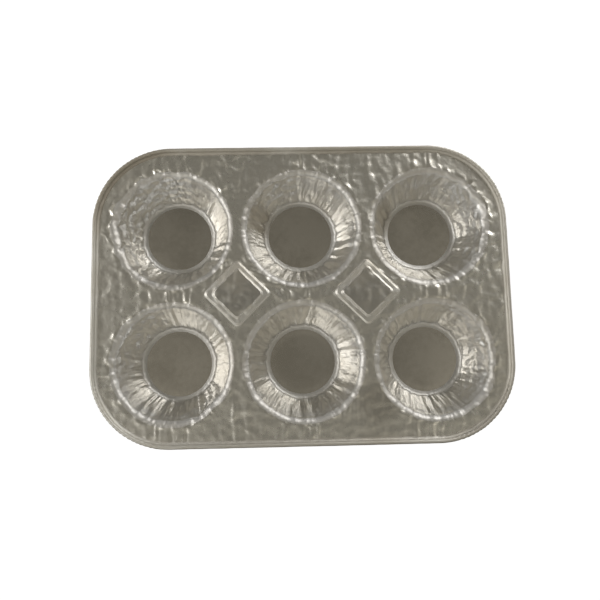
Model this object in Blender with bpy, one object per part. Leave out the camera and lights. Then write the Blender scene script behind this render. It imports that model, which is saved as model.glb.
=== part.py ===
"""Foil muffin pan: six crimped cups pressed into one aluminium foil sheet with a rolled rim.

The real pan is a single pressing, with no fastener and nothing that moves. Each region of the
pressing is an object of its own here: the deck, the wall and the floor of each cup, the two
square bosses, the step at the edge and the curl round it. Neighbouring regions meet edge to
edge at their bend, parted by JOINT_GAP.

Metres, +Z up, +X along the pan. The origin lies under the middle of the pan, on the surface
that the cups stand on. Every surface is the middle of the sheet, and Solidify gives it FOIL.
"""

import math

import bmesh
import bpy
from mathutils import Matrix, Vector

# Sheet
FOIL = 0.0004
JOINT_GAP = 0.0003

# Cups
MOUTH_RADIUS = 0.038
FLOOR_RADIUS = 0.0215
CUP_DEPTH = 0.029
MOUTH_BEND = 0.0025
HEEL_BEND = 0.0020
CRIMP_COUNT = 32
CRIMP_HEIGHT = 0.0010

# Deck left round the cups
WEB_ALONG = 0.0060
WEB_ACROSS = 0.0090
END_FLANGE = 0.0074
SIDE_FLANGE = 0.0099

# Rim
CORNER_RADIUS = 0.050
RIM_BEND = 0.0018
RIM_RISE = 0.0019
CURL_RADIUS = 0.0015
CURL_SWEEP = math.radians(300)

# Square bosses, each turned by half a right angle between four cups
BOSS_MARGIN = 0.0060
BOSS_SLOPE = 0.0045
BOSS_HEIGHT = 0.0028
BOSS_CORNER = 0.0030
BOSS_EDGE = 0.0006
BOSS_EDGE_RISE = 0.0002

# Pleats in the strips of deck in front of and behind each cup
PLEATS_IN_SET = 4
PLEAT_SPACING = 0.0060
PLEAT_WIDTH = 0.0024
PLEAT_TAPER = 0.0024
PLEAT_HEIGHT = 0.0007
PLEAT_MARGIN = 0.0008

# Steps of the round stretches
MOUTH_STEPS = 2
HEEL_STEPS = 2
CORNER_STEPS = 10
RIM_BEND_STEPS = 3
CURL_STEPS = 8
BOSS_CORNER_STEPS = 3

# Cup grid
COLUMNS = {"left": -1, "middle": 0, "right": 1}
ROWS = {"front": -1, "back": 1}

# Worked out from the sizes above
FLOOR_Z = FOIL / 2
DECK_Z = FLOOR_Z + CUP_DEPTH
PITCH_ALONG = 2 * MOUTH_RADIUS + WEB_ALONG
PITCH_ACROSS = 2 * MOUTH_RADIUS + WEB_ACROSS
CURL_MIDDLE = CURL_RADIUS - FOIL / 2
CURL_Z = DECK_Z + RIM_RISE
RIM_INSIDE = CURL_RADIUS + CURL_MIDDLE
RIM_WIDTH = RIM_INSIDE + RIM_BEND
HALF_LENGTH = PITCH_ALONG + MOUTH_RADIUS + END_FLANGE + RIM_WIDTH
HALF_WIDTH = PITCH_ACROSS / 2 + MOUTH_RADIUS + SIDE_FLANGE + RIM_WIDTH
BOSS_HALF = math.hypot(PITCH_ALONG, PITCH_ACROSS) / 2 - MOUTH_RADIUS - BOSS_MARGIN
BOSS_TURN = math.radians(45)


def clear_scene():
    for old in list(bpy.data.objects):
        bpy.data.objects.remove(old)


def foil_finish(name, colour, roughness):
    """A bare metal finish in one colour."""
    finish = bpy.data.materials.new(name)
    finish.use_nodes = True
    shader = finish.node_tree.nodes["Principled BSDF"]
    shader.inputs["Base Color"].default_value = (*colour, 1)
    shader.inputs["Metallic"].default_value = 1
    shader.inputs["Roughness"].default_value = roughness
    finish.diffuse_color = (*colour, 1)
    return finish


def mesh_from(bm, name, finish):
    """The finished mesh of one sheet, shaded smooth except across its folds."""
    mesh = bpy.data.meshes.new(name)
    bm.to_mesh(mesh)
    bm.free()
    mesh.materials.append(finish)
    mesh.shade_smooth()
    mesh.set_sharp_from_angle(angle=math.radians(30))
    return mesh


def place_sheet(name, mesh, location=(0, 0, 0)):
    """An object that gives the mesh the sheet's thickness, half on each side."""
    sheet = bpy.data.objects.new(name, mesh)
    sheet.location = location
    bpy.context.scene.collection.objects.link(sheet)
    thickness = sheet.modifiers.new("foil", "SOLIDIFY")
    thickness.thickness = FOIL
    thickness.offset = 0
    thickness.use_even_offset = True
    return sheet


def circle(radius, height, count):
    """Points round the Z axis, anticlockwise."""
    turns = (math.tau * step / count for step in range(count))
    return [Vector((radius * math.cos(a), radius * math.sin(a), height)) for a in turns]


def rounded_rectangle(half_x, half_y, corner, height, steps):
    """Points round a rectangle with round corners, anticlockwise."""
    points = []
    for quarter, (side_x, side_y) in enumerate(((1, 1), (-1, 1), (-1, -1), (1, -1))):
        centre = Vector((side_x * (half_x - corner), side_y * (half_y - corner), height))
        for step in range(steps + 1):
            angle = (quarter + step / steps) * math.pi / 2
            points.append(centre + corner * Vector((math.cos(angle), math.sin(angle), 0)))
    return points


def rim_ring(inset, height):
    """The pan's outline, moved in by inset."""
    return rounded_rectangle(
        HALF_LENGTH - inset, HALF_WIDTH - inset, CORNER_RADIUS - inset, height, CORNER_STEPS
    )


def boss_ring(inset, height):
    """The outline of a boss about its own centre, moved in by inset from its foot."""
    corner = BOSS_CORNER * (BOSS_HALF - inset) / BOSS_HALF
    half = BOSS_HALF - inset
    turn = Matrix.Rotation(BOSS_TURN, 3, "Z")
    return [turn @ point for point in rounded_rectangle(half, half, corner, height, BOSS_CORNER_STEPS)]


def boss_centres():
    return [Vector((side * PITCH_ALONG / 2, 0, 0)) for side in (-1, 1)]


def cup_centres():
    return {
        f"{row}_{column}": Vector((step_x * PITCH_ALONG, step_y * PITCH_ACROSS / 2, 0))
        for row, step_y in ROWS.items()
        for column, step_x in COLUMNS.items()
    }


def sheet_through(rings, closed=False):
    """One sheet through rings of points of equal count, the outermost first."""
    bm = bmesh.new()
    loops = [[bm.verts.new(point) for point in ring] for ring in rings]
    for outer, inner in zip(loops, loops[1:]):
        for here in range(len(outer)):
            after = (here + 1) % len(outer)
            bm.faces.new((outer[here], outer[after], inner[after], inner[here]))
    if closed:
        bm.faces.new(loops[-1])
    return bm


def wall_slope():
    """The wall's angle below the horizontal, where it meets both bends as their tangent."""
    across = MOUTH_RADIUS - JOINT_GAP - FLOOR_RADIUS
    bends = MOUTH_BEND + HEEL_BEND
    down = CUP_DEPTH - bends
    return math.atan2(down, across) + math.asin(bends / math.hypot(down, across))


def crimped_ring(radius, height, slope, crimp):
    """A ring of the cup's wall, folded in and out along the wall's normal by half of crimp."""
    ring = circle(radius, height, 2 * CRIMP_COUNT)
    for index, point in enumerate(ring):
        shift = crimp / 2 if index % 2 else -crimp / 2
        outward = Vector((point.x, point.y, 0)).normalized()
        point += shift * (math.cos(slope) * Vector((0, 0, 1)) - math.sin(slope) * outward)
    return ring


def cup_wall_mesh(finish):
    """The crimped wall with its bend at the mouth and at the heel, about the cup's axis."""
    slope = wall_slope()
    rings = []
    for step in range(MOUTH_STEPS + 1):
        share = step / MOUTH_STEPS
        angle = slope * share
        radius = MOUTH_RADIUS - JOINT_GAP - MOUTH_BEND * math.sin(angle)
        height = DECK_Z - MOUTH_BEND * (1 - math.cos(angle))
        rings.append(crimped_ring(radius, height, angle, CRIMP_HEIGHT * share))
    for step in range(HEEL_STEPS + 1):
        share = 1 - step / HEEL_STEPS
        angle = slope * share
        radius = FLOOR_RADIUS + HEEL_BEND * math.sin(angle)
        height = FLOOR_Z + HEEL_BEND * (1 - math.cos(angle))
        rings.append(crimped_ring(radius, height, angle, CRIMP_HEIGHT * share))
    return mesh_from(sheet_through(rings), "cup_wall", finish)


def cup_floor_mesh(finish):
    """The flat disc that the cup stands on."""
    bm = bmesh.new()
    bmesh.ops.create_circle(
        bm,
        cap_ends=True,
        radius=FLOOR_RADIUS - JOINT_GAP,
        segments=CRIMP_COUNT,
        matrix=Matrix.Translation((0, 0, FLOOR_Z)),
    )
    return mesh_from(bm, "cup_floor", finish)


def add_cups(wall_finish, floor_finish):
    wall = cup_wall_mesh(wall_finish)
    floor = cup_floor_mesh(floor_finish)
    for place, centre in cup_centres().items():
        place_sheet(f"cup_wall_{place}", wall, centre)
        place_sheet(f"cup_floor_{place}", floor, centre)


def add_bosses(finish):
    """The raised squares, each with a flat top and four sloping sides."""
    rings = [
        boss_ring(0, DECK_Z),
        boss_ring(BOSS_EDGE, DECK_Z + BOSS_EDGE_RISE),
        boss_ring(BOSS_SLOPE - BOSS_EDGE, DECK_Z + BOSS_HEIGHT - BOSS_EDGE_RISE),
        boss_ring(BOSS_SLOPE, DECK_Z + BOSS_HEIGHT),
    ]
    mesh = mesh_from(sheet_through(rings, closed=True), "boss", finish)
    for name, centre in zip(("boss_left", "boss_right"), boss_centres()):
        place_sheet(name, mesh, centre)


def add_rim(step_finish, curl_finish):
    """The step up from the deck, and the curl that rolls outward and under from its top."""
    step_rings = []
    for step in range(RIM_BEND_STEPS + 1):
        angle = math.pi / 2 * (1 - step / RIM_BEND_STEPS)
        inset = RIM_WIDTH - RIM_BEND * math.sin(angle)
        height = DECK_Z + (RIM_RISE - JOINT_GAP) * (1 - math.cos(angle))
        step_rings.append(rim_ring(inset, height))
    place_sheet("rim_step", mesh_from(sheet_through(step_rings), "rim_step", step_finish))

    curl_rings = []
    for step in range(CURL_STEPS + 1):
        angle = math.pi - CURL_SWEEP * (1 - step / CURL_STEPS)
        inset = CURL_RADIUS - CURL_MIDDLE * math.cos(angle)
        curl_rings.append(rim_ring(inset, CURL_Z + CURL_MIDDLE * math.sin(angle)))
    place_sheet("rim_curl", mesh_from(sheet_through(curl_rings), "rim_curl", curl_finish))


def deck_edge(x):
    """How far the deck reaches from the pan's middle line at x, with its round corners."""
    corner = CORNER_RADIUS - RIM_WIDTH - JOINT_GAP
    past_corner = max(0, abs(x) - (HALF_LENGTH - CORNER_RADIUS))
    return HALF_WIDTH - CORNER_RADIUS + math.sqrt(max(0, corner**2 - past_corner**2))


def pleat_spans():
    """(x, low y, high y) of every pleat: its strip of deck ends at a cup's mouth or at the rim."""
    spans = []
    for column in COLUMNS.values():
        for number in range(PLEATS_IN_SET):
            offset = (number - (PLEATS_IN_SET - 1) / 2) * PLEAT_SPACING
            x = column * PITCH_ALONG + offset
            mouth = math.sqrt(max(0, MOUTH_RADIUS**2 - offset**2))
            bridge_end = PITCH_ACROSS / 2 - mouth - PLEAT_MARGIN
            flange_start = PITCH_ACROSS / 2 + mouth + PLEAT_MARGIN
            flange_end = deck_edge(abs(x) + PLEAT_WIDTH / 2) - PLEAT_MARGIN
            spans.append((x, -bridge_end, bridge_end))
            spans.append((x, flange_start, flange_end))
            spans.append((x, -flange_end, -flange_start))
    return [(x, low, high) for x, low, high in spans if high - low > 2 * PLEAT_TAPER]


def add_loop(bm, points):
    """A closed loop of edges."""
    vertices = [bm.verts.new(point) for point in points]
    for here, vertex in enumerate(vertices):
        bm.edges.new((vertex, vertices[(here + 1) % len(vertices)]))
    return vertices


def add_pleat(bm, foot, x, low, high):
    """The roof over one pleat's foot, a leaf of six corners, with a straight ridge."""
    near = bm.verts.new((x, low + PLEAT_TAPER, DECK_Z + PLEAT_HEIGHT))
    far = bm.verts.new((x, high - PLEAT_TAPER, DECK_Z + PLEAT_HEIGHT))
    tip_low, right_low, right_high, tip_high, left_high, left_low = foot
    bm.faces.new((tip_low, right_low, near))
    bm.faces.new((right_low, right_high, far, near))
    bm.faces.new((right_high, tip_high, far))
    bm.faces.new((tip_high, left_high, far))
    bm.faces.new((left_high, left_low, near, far))
    bm.faces.new((left_low, tip_low, near))


def pleat_foot(x, low, high):
    """The six corners of the leaf that a pleat stands on, anticlockwise from its low tip."""
    half = PLEAT_WIDTH / 2
    return [
        Vector((x, low, DECK_Z)),
        Vector((x + half, low + PLEAT_TAPER, DECK_Z)),
        Vector((x + half, high - PLEAT_TAPER, DECK_Z)),
        Vector((x, high, DECK_Z)),
        Vector((x - half, high - PLEAT_TAPER, DECK_Z)),
        Vector((x - half, low + PLEAT_TAPER, DECK_Z)),
    ]


def add_deck(finish):
    """The flat sheet round the cups and bosses, with its pleats."""
    bm = bmesh.new()
    add_loop(bm, rim_ring(RIM_WIDTH + JOINT_GAP, DECK_Z))
    for centre in cup_centres().values():
        add_loop(bm, [centre + point for point in circle(MOUTH_RADIUS, DECK_Z, 2 * CRIMP_COUNT)])
    for centre in boss_centres():
        add_loop(bm, [centre + point for point in boss_ring(-JOINT_GAP, DECK_Z)])
    spans = pleat_spans()
    feet = [add_loop(bm, pleat_foot(*span)) for span in spans]
    bmesh.ops.triangle_fill(bm, use_beauty=True, use_dissolve=False, edges=bm.edges[:])
    for foot, span in zip(feet, spans):
        add_pleat(bm, foot, *span)
    bmesh.ops.recalc_face_normals(bm, faces=bm.faces[:])
    place_sheet("deck", mesh_from(bm, "deck", finish))


def main():
    clear_scene()
    crimped = foil_finish("crimped_foil", (0.42, 0.40, 0.36), 0.30)
    floor = foil_finish("floor_foil", (0.26, 0.24, 0.20), 0.38)
    flat = foil_finish("flat_foil", (0.36, 0.34, 0.30), 0.34)
    boss = foil_finish("boss_foil", (0.30, 0.28, 0.24), 0.34)
    step = foil_finish("step_foil", (0.34, 0.32, 0.28), 0.32)
    curl = foil_finish("curl_foil", (0.40, 0.38, 0.34), 0.30)
    add_cups(crimped, floor)
    add_bosses(boss)
    add_deck(flat)
    add_rim(step, curl)


main()
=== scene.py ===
"""The looks of a foil muffin pan: every region of the pressing at the fineness of real foil.

Each region of the pan has an operator of its own, and the sizes and colours that a user would
change stand in the property groups. Lengths are metres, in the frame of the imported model.
"""

import functools
import math
from typing import NamedTuple

import bpy
import numpy as np
from bpy.props import FloatProperty, FloatVectorProperty, IntProperty, PointerProperty
from mathutils import Matrix, Vector
from mathutils.geometry import delaunay_2d_cdt


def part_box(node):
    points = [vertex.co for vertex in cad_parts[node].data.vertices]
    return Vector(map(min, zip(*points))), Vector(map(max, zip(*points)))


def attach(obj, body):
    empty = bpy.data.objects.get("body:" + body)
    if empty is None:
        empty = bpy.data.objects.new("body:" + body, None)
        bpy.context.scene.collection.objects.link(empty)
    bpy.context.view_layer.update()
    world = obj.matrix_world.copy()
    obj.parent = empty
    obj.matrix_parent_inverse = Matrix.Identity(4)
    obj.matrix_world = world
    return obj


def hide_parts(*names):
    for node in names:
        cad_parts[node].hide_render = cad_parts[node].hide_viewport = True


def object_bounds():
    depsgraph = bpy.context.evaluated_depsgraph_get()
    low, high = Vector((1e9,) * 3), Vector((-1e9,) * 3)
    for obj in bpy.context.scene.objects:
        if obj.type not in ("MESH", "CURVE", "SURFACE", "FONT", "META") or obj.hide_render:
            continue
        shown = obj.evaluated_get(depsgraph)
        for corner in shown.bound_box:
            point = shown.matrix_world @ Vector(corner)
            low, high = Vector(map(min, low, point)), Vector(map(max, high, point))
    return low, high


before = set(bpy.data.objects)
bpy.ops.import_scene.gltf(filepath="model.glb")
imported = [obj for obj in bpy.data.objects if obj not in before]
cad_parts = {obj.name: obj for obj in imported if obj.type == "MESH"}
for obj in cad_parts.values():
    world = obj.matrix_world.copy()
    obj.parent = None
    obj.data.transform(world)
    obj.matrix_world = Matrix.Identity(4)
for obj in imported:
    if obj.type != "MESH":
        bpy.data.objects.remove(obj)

bl_info = {
    "name": "Foil Muffin Pan",
    "version": (1, 0, 0),
    "blender": (4, 5, 0),
    "location": "View3D > Sidebar > Muffin Pan",
    "description": "Dresses a foil muffin pan with crimped cups, a pleated deck and a rolled rim",
    "category": "Add Mesh",
}

# Places of the cups and bosses, and what the frame says of the pan
CUPS = [f"{row}_{column}" for row in ("front", "back") for column in ("left", "middle", "right")]
CAD_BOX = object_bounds()


def middle_of(node):
    """The middle of a node's box, flattened onto the ground."""
    low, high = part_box(node)
    return Vector(((low.x + high.x) / 2, (low.y + high.y) / 2, 0))


CUP_CENTRES = {cup: middle_of(f"cup_floor_{cup}") for cup in CUPS}
BOSS_CENTRES = {side: middle_of(f"boss_{side}") for side in ("left", "right")}
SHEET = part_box("cup_floor_front_left")[1].z
DECK_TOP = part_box("rim_step")[0].z + SHEET
PAN_TOP = CAD_BOX[1].z
HALF_LENGTH = CAD_BOX[1].x
HALF_WIDTH = CAD_BOX[1].y
PITCH_ALONG = CUP_CENTRES["front_right"].x - CUP_CENTRES["front_middle"].x
PITCH_ACROSS = CUP_CENTRES["back_middle"].y - CUP_CENTRES["front_middle"].y

# Fineness of the meshes: points or steps in each direction
AROUND_CUP = 432
DOWN_CUP = 46
FLOOR_RINGS = 24
CORNER_STEPS = 96
BOSS_CORNER_STEPS = 8
BOSS_BEND_STEPS = 6
FACE_RINGS = 16
STEP_RINGS = 9
ALONG_CURL = 1040
ROUND_CURL = 22
CURL_CORNER_STEPS = 90

# Fixed starts of the noises
CUP_SEED = 10.0
CUP_SEED_STEP = 3.7
FLOOR_SEED = 200.0
DECK_SEED = 1.0
BOSS_SEED = 61.0
CURL_SEED = 5.0

# Small forms that have no value of their own in the panel
LEDGE_BEND = 0.0012
CURL_SWEEP = math.radians(300)
CURL_PUCKER = 0.00035
CROWN_HOLE = 0.0006
FLOOR_CROWN = 0.00006
FLOOR_WAVE = 0.00010
SHEET_WAVE = 0.0005
BOSS_FLOW = 0.0004
BOSS_CREASE = 0.0013
BOSS_WAVE = 0.0012
SHARP_EDGE = math.radians(65)
STAGE_HALF = 3.0

# Forms across a wall, as (way down from the mouth, reach): calmer crimps, and the pressed ring below
# the bend
CALM_SHOULDER = (0.0055, 0.0030)
GROOVE = (0.0022, 0.0018)

# Stretches over which a form grows or fades, as (start, end), by the way down a wall from its mouth
CRIMPS_BY_RUN = (-0.0024, 0.0016)
SCALLOP_BY_RUN = (0.001, 0.005)
DRIFT_BY_RUN = (0.002, 0.014)
LIP_BY_RUN = (0.0030, 0.0055)

# Worn bands, as the way still left to a wall's end, where the foot also gets painted shade, and to a boss's
# face from below
FOOT_WEAR_AND_SHADE = (0.0050, 0.0035)
WORN_BOSS_SIDE = (0.0008, 0.0001)

# The same, by the way up from a floor, out from a mouth, out from a boss or in from an edge
DENT_FROM_FLOOR = (0.0010, 0.006)
DENT_FROM_MOUTH = (0.0, 0.004)
DRIFT_FROM_MOUTH = (0.0005, 0.0100)
RELIEF_FROM_MOUTH = (0.0, 0.0014)
RELIEF_FROM_BOSS = (0.0, 0.0012)
RELIEF_IN_FLOOR = (0.0, 0.004)
RELIEF_IN_BOSS = (0.0, 0.0025)

# The same, by the way along the pan from its middle, and into a corner of the curl
END_OF_PAN = (0.112, 0.120)
CURL_CORNER = (0.002, 0.018)

# Pleats: half the width of a set, and their spacing, between the rows and at the pan's ends
ROW_PLEATS = (0.014, 0.0055)
END_PLEATS = (0.017, 0.0042)

# Share of a boss's height that its shelf climbs, and shares of its face that the rings span
SHELF_RISE = 0.12
FACE_SHARES = (0.06, 0.97)

# Rise of each boss's shelf towards the back right, because the two were not pressed alike
SHELF_LEAN = {"left": 0.0001, "right": 0.0005}

# How far a crimp pushes the mouth's edge sideways, as a share of its height
SCALLOP = 0.8

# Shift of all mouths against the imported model
MOUTH_OFFSET = (0.0003, -0.0007, 0.0)

# Where hands dented the foil, where it is wrinkled and where it stayed smooth: (x, y, reach, strength)
HELD_SPOTS = (
    (-0.108, 0.044, 0.038, 1.8),
    (-0.092, 0.070, 0.034, 1.8),
    (-0.108, -0.024, 0.030, 1.0),
    (-0.062, -0.074, 0.020, 1.0),
    (-0.022, 0.074, 0.024, 1.0),
    (0.108, 0.042, 0.034, 1.0),
    (0.102, 0.068, 0.022, 0.9),
    (0.108, -0.038, 0.038, 1.1),
)
WRINKLED_SPOTS = (
    (-0.040, -0.080, 0.026, 0.9),
    (0.040, 0.078, 0.022, 0.5),
    (-0.028, 0.086, 0.018, 0.7),
    (0.004, -0.088, 0.020, 0.8),
    (0.118, -0.002, 0.020, 0.5),
)
SMOOTH_SPOTS = ((-0.054, 0.048, 0.026, 0.7), (-0.054, -0.044, 0.026, 0.7), (0.116, 0.082, 0.038, 1.7))

# Darker brown spots of the walls, the rim and the deck, written the same way; some are painted shade
# The first two darken the upper left walls of the back middle and back right cups as painted shade; the last
# two only darken the right walls of the left cups.
WALL_STAINS_AND_SHADE = (
    (-0.025, 0.051, 0.014, 0.5),
    (0.057, 0.053, 0.013, 0.5),
    (-0.052, 0.0425, 0.022, 0.25),
    (-0.052, -0.0425, 0.022, 0.3),
)
# Painted shade round the rim: at the back left corner, along the back, at the front, at the right corners
# and along the right side.
PAINTED_RIM_SHADE = (
    (-0.114, 0.078, 0.060, 0.85),
    (-0.050, 0.094, 0.050, 0.55),
    (0.040, 0.094, 0.060, 0.55),
    (0.0, -0.094, 0.110, 0.4),
    (0.112, -0.080, 0.045, 0.45),
    (0.112, 0.080, 0.045, 0.25),
    (0.131, -0.010, 0.080, 0.3),
)
# The spot in the back right corner is painted shade against the right softbox's reflection; the other two
# only darken the deck.
DECK_STAINS_AND_SHADE = ((0.127, 0.087, 0.036, 0.45), (0.046, -0.070, 0.018, 0.35), (-0.044, 0.006, 0.012, 0.3))

# Dim places of the ceiling, as (x, y) of the direction to them, reach and strength
CEILING_SHADES = ((0.02, 0.02, 0.12, 0.35), (0.17, 0.01, 0.10, 0.25), (0.33, 0.35, 0.14, 0.5))

# Soft boxes round the pan: azimuth and elevation in degrees, and size in metres
SOFTBOXES = {
    "left": (176, 31, (0.80, 0.62)),
    "right": (52, 29, (0.86, 0.60)),
    "front": (238, 42, (0.64, 0.48)),
}
SOFTBOX_DISTANCE = 1.2
SOFTBOX_TINT = (1.0, 0.99, 0.97)

# The room: light strips round it, its warm tint, and how high metal sees its white walls
STRIPS = 9
ROOM_TINT = (1.0, 0.94, 0.79, 1)
WHITE = (1, 1, 1, 1)
WHITE_WALLS = (0.10, 0.20)


def length_value(name, description, default):
    return FloatProperty(name=name, description=description, default=default, unit="LENGTH")


def angle_value(name, description, degrees):
    return FloatProperty(name=name, description=description, default=math.radians(degrees), subtype="ANGLE")


def colour_value(name, description, default):
    return FloatVectorProperty(name=name, description=description, default=default, subtype="COLOR")


def strength_value(name, description, default):
    return FloatProperty(name=name, description=description, default=default)


class PanSizes(bpy.types.PropertyGroup):
    """Sizes of the pan's regions."""

    foil: length_value("Foil", "Thickness of the sheet", 0.00015)
    mouth_radius: length_value("Mouth Radius", "Where the deck turns down into a cup", 0.0386)
    floor_radius: length_value("Floor Radius", "Radius of a cup's flat floor", 0.0215)
    mouth_bend: length_value("Mouth Bend", "Radius of the bend at a cup's mouth", 0.0040)
    heel_bend: length_value("Heel Bend", "Radius of the bend at a wall's foot", 0.0022)
    ledge_width: length_value("Ledge Width", "Width of the shallow ring round a cup's floor", 0.0015)
    ledge_tilt: angle_value("Ledge Tilt", "Slope of that ring", 12)
    crimps: IntProperty(name="Crimps", description="Folds round one cup", default=19)
    crimp_depth: length_value("Crimp Depth", "Height of a fold of the wall", 0.00066)
    crumple_depth: length_value("Crumple Depth", "Height of the dents where the pan was held", 0.0014)
    drift: length_value("Drift", "How far the mouths' edges wander off their circles", 0.0060)
    groove_depth: length_value("Groove Depth", "Depth of the ring pressed below a cup's mouth", 0.00014)
    corner_radius: length_value("Corner Radius", "Radius of the pan's corners", 0.050)
    curl_radius: length_value("Curl Radius", "Outer radius of the rolled edge", 0.0015)
    step_run: length_value("Step Run", "Width of the step between deck and curl", 0.0018)
    boss_half: length_value("Boss Half", "Half the side of a boss at its foot", 0.0156)
    boss_corner: length_value("Boss Corner", "Corner radius of a boss at its foot", 0.0030)
    boss_slope: length_value("Boss Slope", "Width of a boss's sloping side", 0.0048)
    boss_height: length_value("Boss Height", "Rise of a boss's face over the deck", 0.0025)
    boss_shelf: length_value("Boss Shelf", "Width of the shelf half way up a boss's side", 0.0014)
    boss_foot: length_value("Boss Foot", "Radius of the bends of a boss's lower slope", 0.0007)
    boss_head: length_value("Boss Head", "Radius of the bends of a boss's upper slope", 0.0007)
    pleat_height: length_value("Pleat Height", "Height of the pleats in the deck", 0.00033)
    flow_height: length_value("Flow Height", "Height of the long flow wrinkles", 0.00052)
    crease_height: length_value("Crease Height", "Height of the creases from handling", 0.00105)
    grain: length_value("Mesh Grain", "Spacing of the deck's points", 0.0008)


class PanColours(bpy.types.PropertyGroup):
    """Colours and gloss of the foil."""

    foil: colour_value("Foil", "Bare foil of the walls", (0.68, 0.68, 0.675))
    flat: colour_value("Flat Foil", "Foil of the deck", (0.875, 0.86, 0.81))
    floor: colour_value("Cup Floor", "Smooth foil of the cup floors", (0.925, 0.888, 0.82))
    edge: colour_value("Rolled Edge", "Foil of the curl, the step and the bosses", (0.595, 0.583, 0.548))
    tarnish: colour_value("Tarnish", "Dull warm patches on the foil", (0.53, 0.50, 0.44))
    # This colour darkens the foil: as painted shade at the walls' feet, round the rim and in some spots of
    # the walls and the deck, and elsewhere as plain darker brown.
    stain_and_shade: colour_value("Stain", "Brown baked-on stains", (0.37, 0.335, 0.28))
    roughness: FloatProperty(
        name="Roughness",
        description="Roughness that every finish starts from",
        default=0.40,
        subtype="FACTOR",
    )


class StageValues(bpy.types.PropertyGroup):
    """Camera and light."""

    lens: FloatProperty(name="Lens", description="Focal length in millimetres", default=36.0)
    tilt: angle_value("Tilt", "Camera's lean from straight above", 7.154)
    azimuth: angle_value("Azimuth", "Way that the camera leans", -11.717)
    roll: angle_value("Roll", "Turn of the picture", -1.232)
    distance: length_value("Distance", "Camera to the point it looks at", 0.3776)
    target: FloatVectorProperty(
        name="Target",
        description="Point on the deck that the camera looks at",
        default=(-0.00167, -0.00466, 0.0292),
        subtype="TRANSLATION",
    )
    sky: strength_value("Sky", "Strength of the even light from above", 0.152)
    ring: strength_value("Ring", "Strength of the light from all sides", 0.29)
    left_glow: strength_value("Left Glow", "Brightness of the softbox on the left", 3.85)
    front_glow: strength_value("Front Glow", "Brightness of the softbox in front", 1.05)
    right_glow: strength_value("Right Glow", "Brightness of the softbox at the back", 4.25)


def sign(operation, turned=False):
    """The method behind an arithmetic sign: it adds one Math node to the field's plan."""

    def add_node(self, other):
        first, second = (other, self) if turned else (self, other)
        return self.plan.math(operation, first, second)

    return add_node


class Field:
    """A socket that takes part in arithmetic."""

    __add__ = sign("ADD")
    __radd__ = sign("ADD", turned=True)
    __sub__ = sign("SUBTRACT")
    __rsub__ = sign("SUBTRACT", turned=True)
    __mul__ = sign("MULTIPLY")
    __rmul__ = sign("MULTIPLY", turned=True)
    __truediv__ = sign("DIVIDE")

    def __init__(self, plan, socket):
        self.plan = plan
        self.socket = socket

    def __neg__(self):
        return self.plan.math("MULTIPLY", self, -1)


def socket_type_of(value):
    """The kind of socket that a default value belongs to."""
    if isinstance(value, tuple):
        return "Color" if len(value) == 4 else "Vector"
    return "Int" if isinstance(value, int) else "Float"


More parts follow.
